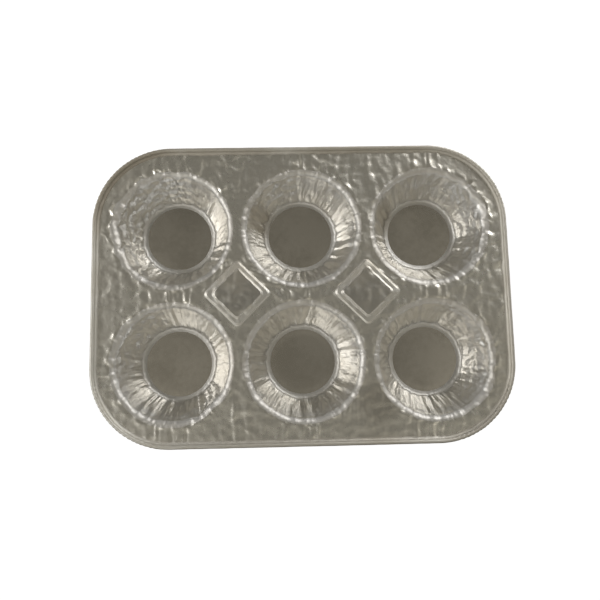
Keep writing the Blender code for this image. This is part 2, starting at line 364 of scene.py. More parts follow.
class Plan:
    """A node tree being laid out, with short forms for the nodes that it uses most."""

    def __init__(self, tree):
        self.tree = tree
        self.entry = None

    @classmethod
    def group(cls, name, kind, inputs, outputs):
        """A new node group. An input is given by its default, or by its type where it has none."""
        plan = cls(bpy.data.node_groups.new(name, kind))
        sockets = plan.tree.interface
        for title, default in inputs.items():
            bare = isinstance(default, str)
            socket_type = "NodeSocket" + (default if bare else socket_type_of(default))
            socket = sockets.new_socket(name=title, in_out="INPUT", socket_type=socket_type)
            if not bare:
                socket.default_value = default
        for title, socket_type in outputs.items():
            sockets.new_socket(name=title, in_out="OUTPUT", socket_type="NodeSocket" + socket_type)
        plan.entry = plan.tree.nodes.new("NodeGroupInput")
        return plan

    def __getitem__(self, name):
        return Field(self, self.entry.outputs[name])

    def given(self, *names):
        """Several inputs of the group."""
        return [self[name] for name in names]

    def feed(self, socket, value):
        if isinstance(value, Field):
            self.tree.links.new(value.socket, socket)
        else:
            socket.default_value = value

    def node(self, kind, inputs=None, **settings):
        node = self.tree.nodes.new(kind)
        for name, value in settings.items():
            setattr(node, name, value)
        for name, value in (inputs or {}).items():
            self.feed(node.inputs[name], value)
        return node

    def field(self, kind, output, inputs=None, **settings):
        return Field(self, self.node(kind, inputs, **settings).outputs[output])

    def place(self, tree, inputs):
        """A node that stands for a finished group, as its outputs by name."""
        kind = "ShaderNodeGroup" if self.tree.bl_idname == "ShaderNodeTree" else "GeometryNodeGroup"
        node = self.node(kind, inputs, node_tree=tree)
        return {output.name: Field(self, output) for output in node.outputs}

    def finish(self, results):
        """Wires the group's outputs."""
        self.node("NodeGroupOutput", results)
        return self.tree

    def math(self, operation, *values):
        return self.field("ShaderNodeMath", 0, dict(enumerate(values)), operation=operation)

    def sin(self, angle):
        return self.math("SINE", angle)

    def cos(self, angle):
        return self.math("COSINE", angle)

    def size(self, value):
        """The value without its sign."""
        return self.math("ABSOLUTE", value)

    def larger(self, first, second):
        return self.math("MAXIMUM", first, second)

    def smaller(self, first, second):
        return self.math("MINIMUM", first, second)

    def within(self, value, low, high):
        """The value held between low and high."""
        return self.smaller(self.larger(value, low), high)

    def distance(self, x, y):
        return self.math("SQRT", x * x + y * y)

    def rise(self, value, start, end):
        """A smooth step from 0 at start to 1 at end."""
        inputs = {"Value": value, 1: start, 2: end}
        return self.field("ShaderNodeMapRange", 0, inputs, interpolation_type="SMOOTHSTEP")

    def fall(self, value, start, end):
        """A smooth step from 1 at start to 0 at end."""
        return 1 - self.rise(value, start, end)

    def swell(self, offset, reach):
        """A smooth hump: 1 where the offset is 0, and 0 beyond the reach on either side."""
        return self.fall(self.size(offset), 0.0, reach)

    def combine(self, x, y, z):
        return self.field("ShaderNodeCombineXYZ", 0, {0: x, 1: y, 2: z})

    def split(self, vector):
        node = self.node("ShaderNodeSeparateXYZ", {0: vector})
        return [Field(self, output) for output in node.outputs]

    def added(self, first, second):
        """The sum of two vectors."""
        return self.field("ShaderNodeVectorMath", 0, {0: first, 1: second}, operation="ADD")

    def scaled(self, vector, factor):
        return self.field("ShaderNodeVectorMath", 0, {0: vector, "Scale": factor}, operation="SCALE")

    def noise(self, vector, scale, seed, detail=2.0, roughness=0.5):
        """Even noise about 0, between about -0.5 and 0.5."""
        inputs = {"Vector": vector, "W": seed, "Scale": scale, "Detail": detail, "Roughness": roughness}
        return self.field("ShaderNodeTexNoise", 0, inputs, noise_dimensions="4D") - 0.5

    def sway(self, vector, scale, seed):
        """A vector noise about 0."""
        inputs = {"Vector": vector, "W": seed, "Scale": scale, "Detail": 1.0}
        colour = self.field("ShaderNodeTexNoise", "Color", inputs, noise_dimensions="4D")
        return self.added(colour, (-0.5, -0.5, -0.5))

    def creases(self, vector, scale, seed):
        """Ridges with narrow round tops, where the noise changes sign, about 0."""
        noise = self.noise(vector, scale, seed, 0.0)
        return 0.6 - self.math("SQRT", noise * noise + 0.0025) * 4

    def nearness(self, x, y, spots):
        """The strength of the nearest spot, falling to 0 at its reach. Each is (x, y, reach, strength)."""
        nearest = 0.0
        for spot_x, spot_y, reach, strength in spots:
            away = self.distance(x - spot_x, y - spot_y)
            nearest = self.larger(nearest, self.fall(away, reach * 0.35, reach) * strength)
        return nearest

    def blend(self, share, first, second):
        """A mix of two colours."""
        return self.field("ShaderNodeMix", 2, {0: share, 6: first, 7: second}, data_type="RGBA")


# Shapes that follow a rule


def fillet_slope(across, rise, bends):
    """The slope of a straight that meets two bends as their tangent; bends is the sum of their radii."""
    return math.atan2(rise - bends, across) + math.asin(bends / math.hypot(across, rise - bends))


def bent_slope(across, rise, bend):
    """(way across, height) of a slope with a bend of one radius at its foot and at its head."""
    slope = fillet_slope(across, rise, bend + bend)
    straight = (across - (bend + bend) * math.sin(slope)) / math.cos(slope)
    counted = range(1, BOSS_BEND_STEPS + 1)
    points = [(0.0, 0.0)]
    for step in counted:
        angle = slope * step / BOSS_BEND_STEPS
        points.append((bend * math.sin(angle), bend * (1 - math.cos(angle))))
    foot_across, foot_height = points[-1]
    for step in counted:
        run = straight * step / BOSS_BEND_STEPS
        points.append((foot_across + run * math.cos(slope), foot_height + run * math.sin(slope)))
    for step in counted:
        angle = slope * (1 - step / BOSS_BEND_STEPS)
        points.append((across - bend * math.sin(angle), rise - bend * (1 - math.cos(angle))))
    return points


def short_slope(sizes):
    """The width of each of the two slopes of a boss's side."""
    return (sizes.boss_slope - sizes.boss_shelf) / 2


def stepped_slope(sizes):
    """(way across, height) of a boss's side: two short slopes with a nearly level shelf between them."""
    across = short_slope(sizes)
    rise = sizes.boss_height * (1 - SHELF_RISE) / 2
    way = across + sizes.boss_shelf
    climb = sizes.boss_height - rise
    lower = bent_slope(across, rise, sizes.boss_foot)
    upper = bent_slope(across, rise, sizes.boss_head)
    return lower + [(way + further, climb + higher) for further, higher in upper]


def circle(angles):
    return np.stack((np.cos(angles), np.sin(angles)), axis=1)


def cup_circle(centre, radius):
    """Points on a circle round the middle of a cup."""
    return radius * circle(np.arange(AROUND_CUP) * math.tau / AROUND_CUP) + np.array(centre.xy)


def rounded_outline(half_x, half_y, corner, corner_steps, steps_x, steps_y):
    """Points round a rectangle with round corners, anticlockwise, closely spaced on its sides too."""
    points = []
    for quarter, (side_x, side_y) in enumerate(((1, 1), (-1, 1), (-1, -1), (1, -1))):
        middle = np.array((side_x * (half_x - corner), side_y * (half_y - corner)))
        arc = middle + corner * circle((quarter + np.arange(corner_steps + 1) / corner_steps) * math.pi / 2)
        if quarter % 2 == 0:
            steps, way, along = steps_x, 2 * (half_x - corner), (-side_y, 0.0)
        else:
            steps, way, along = steps_y, 2 * (half_y - corner), (0.0, side_x)
        points += [arc, arc[-1] + np.outer(np.arange(1, steps) * way / steps, along)]
    return np.concatenate(points)


def pan_outline(sizes, inset):
    """The pan's outline, moved in by inset."""
    steps_x = round(2 * (HALF_LENGTH - sizes.corner_radius) / sizes.grain)
    steps_y = round(2 * (HALF_WIDTH - sizes.corner_radius) / sizes.grain)
    corner = sizes.corner_radius - inset
    return rounded_outline(HALF_LENGTH - inset, HALF_WIDTH - inset, corner, CORNER_STEPS, steps_x, steps_y)


def boss_outline(sizes, centre, inset):
    """The outline of a boss, moved in by inset from its foot."""
    half = sizes.boss_half - inset
    corner = sizes.boss_corner * half / sizes.boss_half
    side_steps = round(2 * (sizes.boss_half - sizes.boss_corner) / sizes.grain)
    ring = rounded_outline(half, half, corner, BOSS_CORNER_STEPS, side_steps, side_steps)
    turn = math.radians(45)
    across = ring[:, 0] * math.cos(turn) - ring[:, 1] * math.sin(turn)
    along = ring[:, 0] * math.sin(turn) + ring[:, 1] * math.cos(turn)
    return np.stack((centre.x + across, centre.y + along), axis=1)


def rim_widths(sizes):
    """How far in from the outline the curl and the step reach."""
    curl_inside = 2 * sizes.curl_radius - SHEET / 2
    return curl_inside, curl_inside + sizes.step_run


def curl_height(sizes):
    """The height of the middle of the curl."""
    return PAN_TOP - sizes.curl_radius


def wall_profile(sizes):
    """A cup wall's slope, the length of its straight part and its whole length from mouth to floor."""
    tilt = sizes.ledge_tilt
    bends = sizes.mouth_bend + sizes.heel_bend
    across = sizes.mouth_radius - sizes.floor_radius - sizes.ledge_width * math.cos(tilt)
    across += (sizes.heel_bend - LEDGE_BEND) * math.sin(tilt)
    rise = DECK_TOP - sizes.foil - sizes.ledge_width * math.sin(tilt)
    rise += (sizes.heel_bend - LEDGE_BEND) * (1 - math.cos(tilt))
    slope = fillet_slope(across, rise, bends)
    straight = (across - bends * math.sin(slope)) / math.cos(slope)
    heel = sizes.heel_bend * (slope - tilt) + sizes.ledge_width + LEDGE_BEND * tilt
    return slope, straight, sizes.mouth_bend * slope + straight + heel


def smooth_step(value, start, end):
    share = np.clip((value - start) / (end - start), 0, 1)
    return share * share * (3 - 2 * share)


def upright(weight):
    """Straight up, once for each weight and as long as it."""
    return np.outer(weight, (0.0, 0.0, 1.0))


def sheet_mesh(name, points, faces, press, free=None):
    """A sheet. Press is how far and which way the relief moves each point, free how far dents move it."""
    mesh = bpy.data.meshes.new(name)
    mesh.from_pydata(points.tolist(), [], faces)
    mesh.attributes.new("press", "FLOAT_VECTOR", "POINT").data.foreach_set("vector", press.ravel())
    if free is not None:
        mesh.attributes.new("free", "FLOAT", "POINT").data.foreach_set("value", free.ravel())
    return mesh


def ring_mesh(name, rings, press, crown=False, free=None):
    """A sheet through rings of points of equal count, the outermost first, closed by a crown if asked."""
    count = len(rings[0])
    here = np.arange(count)
    after = (here + 1) % count
    faces = []
    for start in range(0, (len(rings) - 1) * count, count):
        corners = (start + here, start + after, start + count + after, start + count + here)
        faces += np.stack(corners, axis=1).tolist()
    points = np.concatenate(rings)
    press = np.concatenate(press)
    if crown:
        tip = len(points)
        last = tip - count
        points = np.concatenate((points, points[last:].mean(axis=0, keepdims=True)))
        press = np.concatenate((press, press[-1:]))
        faces += [(last + one, last + (one + 1) % count, tip) for one in range(count)]
    return sheet_mesh(name, points, faces, press, None if free is None else np.concatenate(free))


# Geometry Nodes


@functools.cache
def crimps_tree():
    """Height of the crimps round one cup. Run is the way down the wall, and less than 0 out on the deck."""
    inputs = {"Turn": 0.0, "Run": 0.0, "Crimps": 19.0, "Calm": 0.0, "Seed": 1.0}
    plan = Plan.group("cup_crimps", "GeometryNodeTree", inputs, {"Height": "Float"})
    turn, run, seed = plan.given("Turn", "Run", "Seed")
    cos_turn = plan.cos(turn)
    sin_turn = plan.sin(turn)
    # A cup's noise is read on a circle of radius 1, and changes slowly on the way down.
    ring = plan.combine(cos_turn, sin_turn, run * 10)
    long_ring = plan.combine(cos_turn, sin_turn, run * 5)
    sway = plan.noise(long_ring, 2.0, seed, 1.0) * 3.0 + plan.noise(long_ring, 7.0, seed + 3, 0.0) * 0.5
    fold = plan.sin((plan["Crimps"] * turn / math.tau + sway) * math.tau) * 0.5
    strength = plan.within(0.85 + plan.noise(ring, 3.2, seed + 7, 1.0) * 1.6, 0.5, 1.2)
    broad = plan.noise(long_ring, 3.0, seed + 11, 1.0) * 1.4 + plan.noise(ring, 7.5, seed + 19, 0.5) * 2.0
    narrow = plan.noise(long_ring, 15.0, seed + 23, 1.0) * 1.6
    from_deck = plan.rise(run, *CRIMPS_BY_RUN)
    shoulder, reach = CALM_SHOULDER
    flatter_shoulder = plan.swell(run - shoulder, reach) * 0.35
    height = (fold * strength + broad + narrow) * (1 - plan["Calm"]) * (from_deck - flatter_shoulder)
    return plan.finish({"Height": height})


@functools.cache
def handling_tree():
    """Dents where the pan was held, and the drift of its lines, the same on every sheet at one place."""
    inputs = {"Position": (0, 0, 0), "Crumple Depth": 0.0014, "Drift": 0.0060}
    outputs = {"Height": "Float", "Shift": "Vector", "Calm": "Float"}
    plan = Plan.group("handled_foil", "GeometryNodeTree", inputs, outputs)
    position = plan["Position"]
    x, y, _ = plan.split(position)
    held = plan.nearness(x, y, HELD_SPOTS)
    smooth = plan.nearness(x, y, SMOOTH_SPOTS)
    bent = plan.added(position, plan.scaled(plan.sway(position, 60.0, 83.0), 0.008))
    dents = plan.noise(bent, 200.0, 87.0, 1.0) + plan.creases(bent, 150.0, 89.0) * 0.25
    dents = dents + plan.noise(position, 90.0, 91.0, 0.0) * 0.8
    height = dents * (held * 0.8 + 0.22) * plan["Crumple Depth"]
    drift = plan.scaled(plan.sway(position, 75.0, 95.0), (held * 0.7 + 0.3) * plan["Drift"])
    drift_x, drift_y, _ = plan.split(drift)
    shift = plan.added(plan.combine(drift_x, drift_y, 0), MOUTH_OFFSET)
    calm = plan.larger(plan.smaller(held, 1.0) * 0.5, smooth * 0.4)
    return plan.finish({"Height": height, "Shift": shift, "Calm": calm})


def handled_crimps(plan, position, turn, run, seed):
    """What handling did to a place, and the height of the crimps there."""
    values = {"Position": position, "Crumple Depth": plan["Crumple Depth"], "Drift": plan["Drift"]}
    handled = plan.place(handling_tree(), values)
    values = {"Turn": turn, "Run": run, "Crimps": plan["Crimps"], "Calm": handled["Calm"], "Seed": seed}
    return handled, plan.place(crimps_tree(), values)["Height"]


@functools.cache
def cup_wall_tree():
    """A crimped conical wall, from the deck's edge round the bend at the mouth down to the floor."""
    inputs = {
        "Centre": (0, 0, 0),
        "Around": AROUND_CUP,
        "Down": DOWN_CUP,
        "Mouth Radius": 0.0386,
        "Mouth Bend": 0.0040,
        "Heel Bend": 0.0022,
        "Ledge Bend": LEDGE_BEND,
        "Ledge Width": 0.0015,
        "Ledge Tilt": math.radians(12),
        "Slope": 1.1,
        "Straight": 0.025,
        "Crimps": 19.0,
        "Crimp Depth": 0.00066,
        "Crumple Depth": 0.0014,
        "Drift": 0.0060,
        "Groove Depth": 0.00014,
        "Seed": 1.0,
        "Finish": "Material",
    }
    plan = Plan.group("pressed_cup_wall", "GeometryNodeTree", inputs, {"Wall": "Geometry"})
    slope, bend, heel, straight = plan.given("Slope", "Mouth Bend", "Heel Bend", "Straight")
    ledge_bend, ledge_width, ledge_tilt = plan.given("Ledge Bend", "Ledge Width", "Ledge Tilt")
    heel_turn = slope - ledge_tilt
    bend_length = bend * slope
    wall_length = bend_length + straight
    heel_length = heel * heel_turn + ledge_width + ledge_bend * ledge_tilt
    length = wall_length + heel_length

    # A flat grid of side 1, bent round the cup: its X is the turn and its Y the way down.
    counts = {"Vertices X": plan["Around"] + 1, "Vertices Y": plan["Down"] + 1}
    grid = plan.field("GeometryNodeMeshGrid", "Mesh", {"Size X": 1.0, "Size Y": 1.0, **counts})
    flat_x, flat_y, _ = plan.split(plan.field("GeometryNodeInputPosition", 0))
    turn = (flat_x + 0.5) * math.tau
    run = (flat_y + 0.5) * length

    down_bend = plan.smaller(run / bend, slope)
    down_straight = plan.within(run - bend_length, 0, straight)
    back_up = plan.within((run - wall_length) / heel, 0, heel_turn)
    past_heel = run - wall_length - heel * heel_turn
    along_ledge = plan.within(past_heel, 0, ledge_width)
    level_off = plan.within((past_heel - ledge_width) / ledge_bend, 0, ledge_tilt)
    tilt = down_bend - back_up - level_off
    radius = (
        plan["Mouth Radius"]
        - bend * plan.sin(down_bend)
        - down_straight * plan.cos(slope)
        - heel * (plan.sin(slope) - plan.sin(slope - back_up))
        - along_ledge * plan.cos(ledge_tilt)
        - ledge_bend * (plan.sin(ledge_tilt) - plan.sin(ledge_tilt - level_off))
    )
    drop = (
        bend * (1 - plan.cos(down_bend))
        + down_straight * plan.sin(slope)
        + heel * (plan.cos(slope - back_up) - plan.cos(slope))
        + along_ledge * plan.sin(ledge_tilt)
        + ledge_bend * (plan.cos(ledge_tilt - level_off) - plan.cos(ledge_tilt))
    )

    cos_turn = plan.cos(turn)
    sin_turn = plan.sin(turn)
    smooth_place = plan.added(plan.combine(radius * cos_turn, radius * sin_turn, -drop), plan["Centre"])
    handled, folds = handled_crimps(plan, smooth_place, turn, run, plan["Seed"])
    to_floor = length - run
    crimp = folds * plan["Crimp Depth"] * plan.rise(to_floor, heel_length * 0.3, heel_length + 0.002)
    dent = handled["Height"] * plan.rise(to_floor, *DENT_FROM_FLOOR)
    pressed = plan.within(plan.noise(smooth_place, 45.0, plan["Seed"] + 29, 1.0) * 4.0 + 0.5, 0.0, 1.2)
    below_bend, reach = GROOVE
    groove = plan.swell(run - bend_length - below_bend, reach) * plan["Groove Depth"] * pressed

    outward = plan.combine(-plan.sin(tilt) * cos_turn, -plan.sin(tilt) * sin_turn, plan.cos(tilt))
    sunk = plan.added(smooth_place, plan.scaled(outward, crimp + dent - groove))
    drifted = plan.added(sunk, plan.scaled(handled["Shift"], plan.fall(run, *DRIFT_BY_RUN)))
    scallop = folds * plan["Crimp Depth"] * SCALLOP * plan.fall(run, *SCALLOP_BY_RUN)
    placed = plan.added(drifted, plan.combine(cos_turn * scallop, sin_turn * scallop, 0))

    # The map is stored on the flat grid, before its points move.
    mapped = plan.node(
        "GeometryNodeStoreNamedAttribute",
        {"Geometry": grid, "Name": "wall_map"},
        data_type="FLOAT2",
        domain="CORNER",
    )
    value_socket = next(socket for socket in mapped.inputs if socket.name == "Value" and socket.enabled)
    plan.feed(value_socket, plan.combine(flat_x * math.tau * plan["Mouth Radius"], run, 0))
    values = {"Geometry": Field(plan, mapped.outputs[0]), "Position": placed}
    sheet = plan.field("GeometryNodeSetPosition", 0, values)
    joined = plan.field("GeometryNodeMergeByDistance", 0, {"Geometry": sheet, "Distance": 0.000001})
    return finish_sheet(plan, joined, "Wall")


def finish_sheet(plan, geometry, output):
    """The end that every tree here has: smooth faces, real geometry, one material."""
    smooth = plan.field("GeometryNodeSetShadeSmooth", 0, {"Geometry": geometry})
    real = plan.field("GeometryNodeRealizeInstances", 0, {"Geometry": smooth})
    dressed = plan.field("GeometryNodeSetMaterial", 0, {"Geometry": real, "Material": plan["Finish"]})
    return plan.finish({output: dressed})


@functools.cache
def strip_pleats_tree():
    """The height of a set of pleats about one line of the deck."""
    inputs = dict.fromkeys(("Along", "Across", "Middle"), 0.0)
    inputs |= {"Half Width": ROW_PLEATS[0], "Spacing": ROW_PLEATS[1], "Seed": 1.0}
    plan = Plan.group("strip_pleats", "GeometryNodeTree", inputs, {"Height": "Float"})
    seed, half = plan.given("Seed", "Half Width")
    offset = plan["Along"] - plan["Middle"]
    place = plan.combine(offset, plan["Across"] * 0.25, 0)
    wave = plan.sin((offset / plan["Spacing"] + plan.noise(place, 120.0, seed, 1.0) * 2.2) * math.pi)
    ends = plan.fall(plan.size(offset), half * 0.6, half * 1.4)
    strength = plan.within(0.7 + plan.noise(place, 150.0, seed + 5, 1.0) * 2.6, 0.25, 1.4)
    return plan.finish({"Height": wave * wave * ends * strength})


def pleat_sets(plan, along, across, middles, pleats, seed):
    """Pleats about each of the middles, added up."""
    half_width, spacing = pleats
    height = 0.0
    for number, middle in enumerate(middles):
        values = {"Along": along, "Across": across, "Middle": middle, "Half Width": half_width}
        values |= {"Spacing": spacing, "Seed": seed + number * 31}
        height = height + plan.place(strip_pleats_tree(), values)["Height"]
    return height


@functools.cache
def relief_tree():
    """Pleats, flow wrinkles and creases, pressed into a flat sheet along its press attribute."""
    inputs = {
        "Sheet": "Geometry",
        "Pleat Height": 0.0,
        "Flow Height": 0.0,
        "Crease Height": 0.0,
        "Wave Height": SHEET_WAVE,
        "Crimp Depth": 0.0,
        "Crimps": 19.0,
        "Crumple Depth": 0.0,
        "Drift": 0.0,
        "Mouth Radius": 0.038,
        "Column Pitch": PITCH_ALONG,
        "Row Pitch": PITCH_ACROSS,
        "Seed": 1.0,
        "Finish": "Material",
    }
    plan = Plan.group("pressed_relief", "GeometryNodeTree", inputs, {"Sheet": "Geometry"})
    seed, column_pitch, row_pitch = plan.given("Seed", "Column Pitch", "Row Pitch")
    position = plan.field("GeometryNodeInputPosition", 0)
    x, y, _ = plan.split(position)
    middles = [column_pitch * column for column in (-1, 0, 1)]
    pleat = pleat_sets(plan, x, y, middles, ROW_PLEATS, seed)
    end_of_pan = plan.rise(plan.size(x), *END_OF_PAN)
    middles = [row_pitch * row for row in (-0.5, 0.5)]
    pleat = pleat + pleat_sets(plan, y, x, middles, END_PLEATS, seed + 100) * end_of_pan * 0.5

    bent = plan.added(position, plan.scaled(plan.sway(position, 60.0, seed + 71), 0.006))
    bent_x, bent_y, _ = plan.split(bent)
    stretched = plan.combine(bent_x, bent_y * 0.14, 0)
    flow = plan.creases(stretched, 130.0, seed + 41) * 0.2 + plan.noise(stretched, 240.0, seed + 43, 0.0)
    flow_patch = plan.rise(plan.noise(position, 26.0, seed + 47, 1.0), -0.10, 0.14) * 0.35 + 0.6
    flow_patch = flow_patch + plan.nearness(x, y, WRINKLED_SPOTS)
    crease = plan.noise(bent, 200.0, seed + 61, 0.0) + plan.creases(bent, 110.0, seed + 67) * 0.3
    crease_patch = plan.rise(plan.noise(position, 30.0, seed + 77, 1.0), -0.08, 0.16) * 0.35 + 0.6
    wave = plan.noise(position, 42.0, seed + 53, 1.0) + plan.noise(position, 120.0, seed + 57, 1.0) * 0.35
    height = (
        pleat * plan["Pleat Height"]
        + flow * flow_patch * plan["Flow Height"]
        + crease * crease_patch * plan["Crease Height"]
        + wave * plan["Wave Height"]
    )

    # The crimps of the nearest cup run out on the deck, so its edge and the wall's are one line.
    column = plan.within(plan.math("ROUND", x / column_pitch), -1, 1)
    back_row = plan.math("GREATER_THAN", y, 0)
    from_x = x - column * column_pitch
    from_y = y - (back_row - 0.5) * row_pitch
    outside = plan.distance(from_x, from_y) - plan["Mouth Radius"]
    turn = plan.math("ARCTAN2", from_y, from_x)
    cup_seed = CUP_SEED + CUP_SEED_STEP * (back_row * 3 + column + 1)
    handled, folds = handled_crimps(plan, position, turn, -outside, cup_seed)
    lip = folds * plan["Crimp Depth"]
    press = plan.field("GeometryNodeInputNamedAttribute", 0, {"Name": "press"}, data_type="FLOAT_VECTOR")
    free = plan.field("GeometryNodeInputNamedAttribute", 0, {"Name": "free"}, data_type="FLOAT")
    dent = handled["Height"] * free * (1 - plan.rise(outside, *DENT_FROM_MOUTH) * 0.9)
    pressed = plan.scaled(press, height * (1 - handled["Calm"] * 1.2))
    offset = plan.added(pressed, plan.combine(0, 0, lip + dent))
    offset = plan.added(offset, plan.scaled(handled["Shift"], free * plan.fall(outside, *DRIFT_FROM_MOUTH)))
    scallop = lip * SCALLOP * free
    offset = plan.added(offset, plan.combine(plan.cos(turn) * scallop, plan.sin(turn) * scallop, 0))
    moved = plan.field("GeometryNodeSetPosition", 0, {"Geometry": plan["Sheet"], "Offset": offset})
    return finish_sheet(plan, moved, "Sheet")


def rolled_rim_tree():
    """The curl round the pan, swept along its outline, with puckers at the corners."""
    inputs = {
        "Half Length": HALF_LENGTH,
        "Half Width": HALF_WIDTH,
        "Corner Radius": 0.050,
        "Curl Radius": 0.0015,
        "Height": 0.0311,
        "Points Along": ALONG_CURL,
        "Points Round": ROUND_CURL,
        "Sweep": CURL_SWEEP,
        "Pucker": CURL_PUCKER,
        "Seed": 1.0,
        "Finish": "Material",
    }
    plan = Plan.group("rolled_rim", "GeometryNodeTree", inputs, {"Rim": "Geometry"})
    roll, corner, seed = plan.given("Curl Radius", "Corner Radius", "Seed")
    half_length, half_width = plan.given("Half Length", "Half Width")
    values = {"Width": (half_length - roll) * 2, "Height": (half_width - roll) * 2}
    outline = plan.field("GeometryNodeCurvePrimitiveQuadrilateral", 0, values)
    values = {"Curve": outline, "Radius": corner - roll, "Count": CURL_CORNER_STEPS}
    rounded = plan.field("GeometryNodeFilletCurve", 0, values, mode="POLY")
    path = plan.field("GeometryNodeResampleCurve", 0, {"Curve": rounded, "Count": plan["Points Along"]})
    values = {"Resolution": plan["Points Round"], "Radius": roll}
    values |= {"Start Angle": 0.0, "Sweep Angle": plan["Sweep"]}
    section = plan.field("GeometryNodeCurveArc", 0, values, mode="RADIUS")
    swept = plan.field("GeometryNodeCurveToMesh", 0, {"Curve": path, "Profile Curve": section})

    position = plan.field("GeometryNodeInputPosition", 0)
    x, y, _ = plan.split(position)
    past_x = plan.larger(plan.size(x) - half_length + corner, 0.0001)
    past_y = plan.larger(plan.size(y) - half_width + corner, 0.0001)
    corner_turn = plan.math("ARCTAN2", past_y, past_x)
    at_corner = plan.rise(plan.smaller(past_x, past_y), *CURL_CORNER)
    folds = corner_turn * 17 + plan.noise(position, 60.0, seed, 1.0) * 2.2
    pucker = (plan.math("PINGPONG", folds, 0.5) * 2 - 0.5) * at_corner
    dent = plan.noise(position, 150.0, seed + 9) * 0.9 + plan.noise(position, 30.0, seed + 4) * 0.8
    normal = plan.field("GeometryNodeInputNormal", 0)
    offset = plan.scaled(normal, (pucker + dent - 0.8) * plan["Pucker"])
    moved = plan.field("GeometryNodeSetPosition", 0, {"Geometry": swept, "Offset": offset})
    values = {"Geometry": moved, "Offset": plan.combine(0, 0, plan["Height"])}
    return finish_sheet(plan, plan.field("GeometryNodeSetPosition", 0, values), "Rim")


def new_object(name, data):
    """An object in the scene."""
    made = bpy.data.objects.new(name, data)
    bpy.context.scene.collection.objects.link(made)
    return made


def inputs_of(sizes, *names):
    """The named sizes, under the names of a tree's inputs."""
    return {name.replace("_", " ").title(): float(getattr(sizes, name)) for name in names}


def press_piece(name, node, slot, tree, values, base=None):
    """Hands over the plain mesh that a tree makes of the base, as thick as the foil, in its node's place."""
    carrier = new_object(name, base or bpy.data.meshes.new(name))
    shape = carrier.modifiers.new("shape", "NODES")
    shape.node_group = tree
    values["Finish"] = finish_of(slot)
    for item in tree.interface.items_tree:
        if item.in_out == "INPUT" and item.name in values:
            shape[item.identifier] = values[item.name]
    thickness = carrier.modifiers.new("foil", "SOLIDIFY")
    thickness.thickness = bpy.context.scene.pan_sizes.foil
    thickness.offset = -1
    graph = bpy.context.evaluated_depsgraph_get()
    mesh = bpy.data.meshes.new_from_object(carrier.evaluated_get(graph), depsgraph=graph)
    bpy.data.objects.remove(carrier)
    for leftover in ("press", "free"):
        if leftover in mesh.attributes:
            mesh.attributes.remove(mesh.attributes[leftover])
    mesh.set_sharp_from_angle(angle=SHARP_EDGE)
    mesh.name = name
    piece = new_object(name, mesh)
    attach(piece, "root")
    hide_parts(node)


# Finishes


class Finish(NamedTuple):
    """One finish of the foil, by the name of its colour and how it departs from the common roughness."""

    colour: str
    rougher: float
    tarnish: float
    crinkle: float
    rolling: float
    spots: tuple = ()


FINISHES = {
    "crimped_foil": Finish("foil", -0.03, tarnish=0.35, crinkle=0.00020, rolling=0.0, spots=WALL_STAINS_AND_SHADE),
    "deck_foil": Finish("flat", -0.12, tarnish=0.45, crinkle=0.00020, rolling=0.000003, spots=DECK_STAINS_AND_SHADE),
    "boss_foil": Finish("edge", -0.08, tarnish=0.8, crinkle=0.00006, rolling=0.000003),
    "floor_foil": Finish("floor", -0.26, tarnish=0.5, crinkle=0.000006, rolling=0.000002),
    "step_foil": Finish("edge", 0.19, tarnish=0.45, crinkle=0.00025, rolling=0.0, spots=PAINTED_RIM_SHADE),
    "curl_foil": Finish("edge", 0.19, tarnish=0.5, crinkle=0.0002, rolling=0.000003, spots=PAINTED_RIM_SHADE),
}


@functools.cache
def tarnish_group():
    """Uneven warm dulling of the foil, and the change in gloss that comes with it."""
    inputs = {
        "Vector": (0, 0, 0),
        "Foil": (0.5, 0.5, 0.5, 1),
        "Tarnish": (0.3, 0.27, 0.22, 1),
        "Scale": 30.0,
        "Amount": 0.35,
        "Gloss": 0.3,
    }
    plan = Plan.group("foil_tarnish", "ShaderNodeTree", inputs, {"Color": "Color", "Roughness": "Float"})
    vector, scale = plan.given("Vector", "Scale")
    cloud = plan.noise(vector, scale, 2.0, 3.0) + plan.noise(vector, scale * 9, 5.0) * 0.35
    amount = plan.rise(cloud, -0.12, 0.22) * plan["Amount"]
    fine = plan.noise(vector, scale * 25, 9.0)
    roughness = plan.within(plan["Gloss"] + amount * 0.12 + fine * 0.08, 0.08, 0.9)
    return plan.finish({"Color": plan.blend(amount, plan["Foil"], plan["Tarnish"]), "Roughness": roughness})


@functools.cache
def rolling_group():
    """The faint straight lines that rolling leaves in foil."""
    inputs = {"Vector": (0, 0, 0), "Fineness": 1500.0, "Depth": 0.000004}
    plan = Plan.group("rolling_lines", "ShaderNodeTree", inputs, {"Height": "Float"})
    x, y, z = plan.split(plan["Vector"])
    lines = plan.combine(x * 0.02, y, z * 0.02)
    return plan.finish({"Height": plan.noise(lines, plan["Fineness"], 1.0, 3.0, 0.7) * plan["Depth"]})


@functools.cache
def crinkle_group():
    """Small creases and dents that handling leaves in thin foil."""
    inputs = {"Vector": (0, 0, 0), "Scale": 260.0, "Depth": 0.00005}
    plan = Plan.group("foil_crinkle", "ShaderNodeTree", inputs, {"Height": "Float"})
    vector, scale = plan.given("Vector", "Scale")
    large = plan.noise(vector, scale, 3.0, 1.0)
    small = plan.noise(vector, scale * 2.2, 6.0, 1.0)
    return plan.finish({"Height": (large + small * 0.3) * plan["Depth"]})


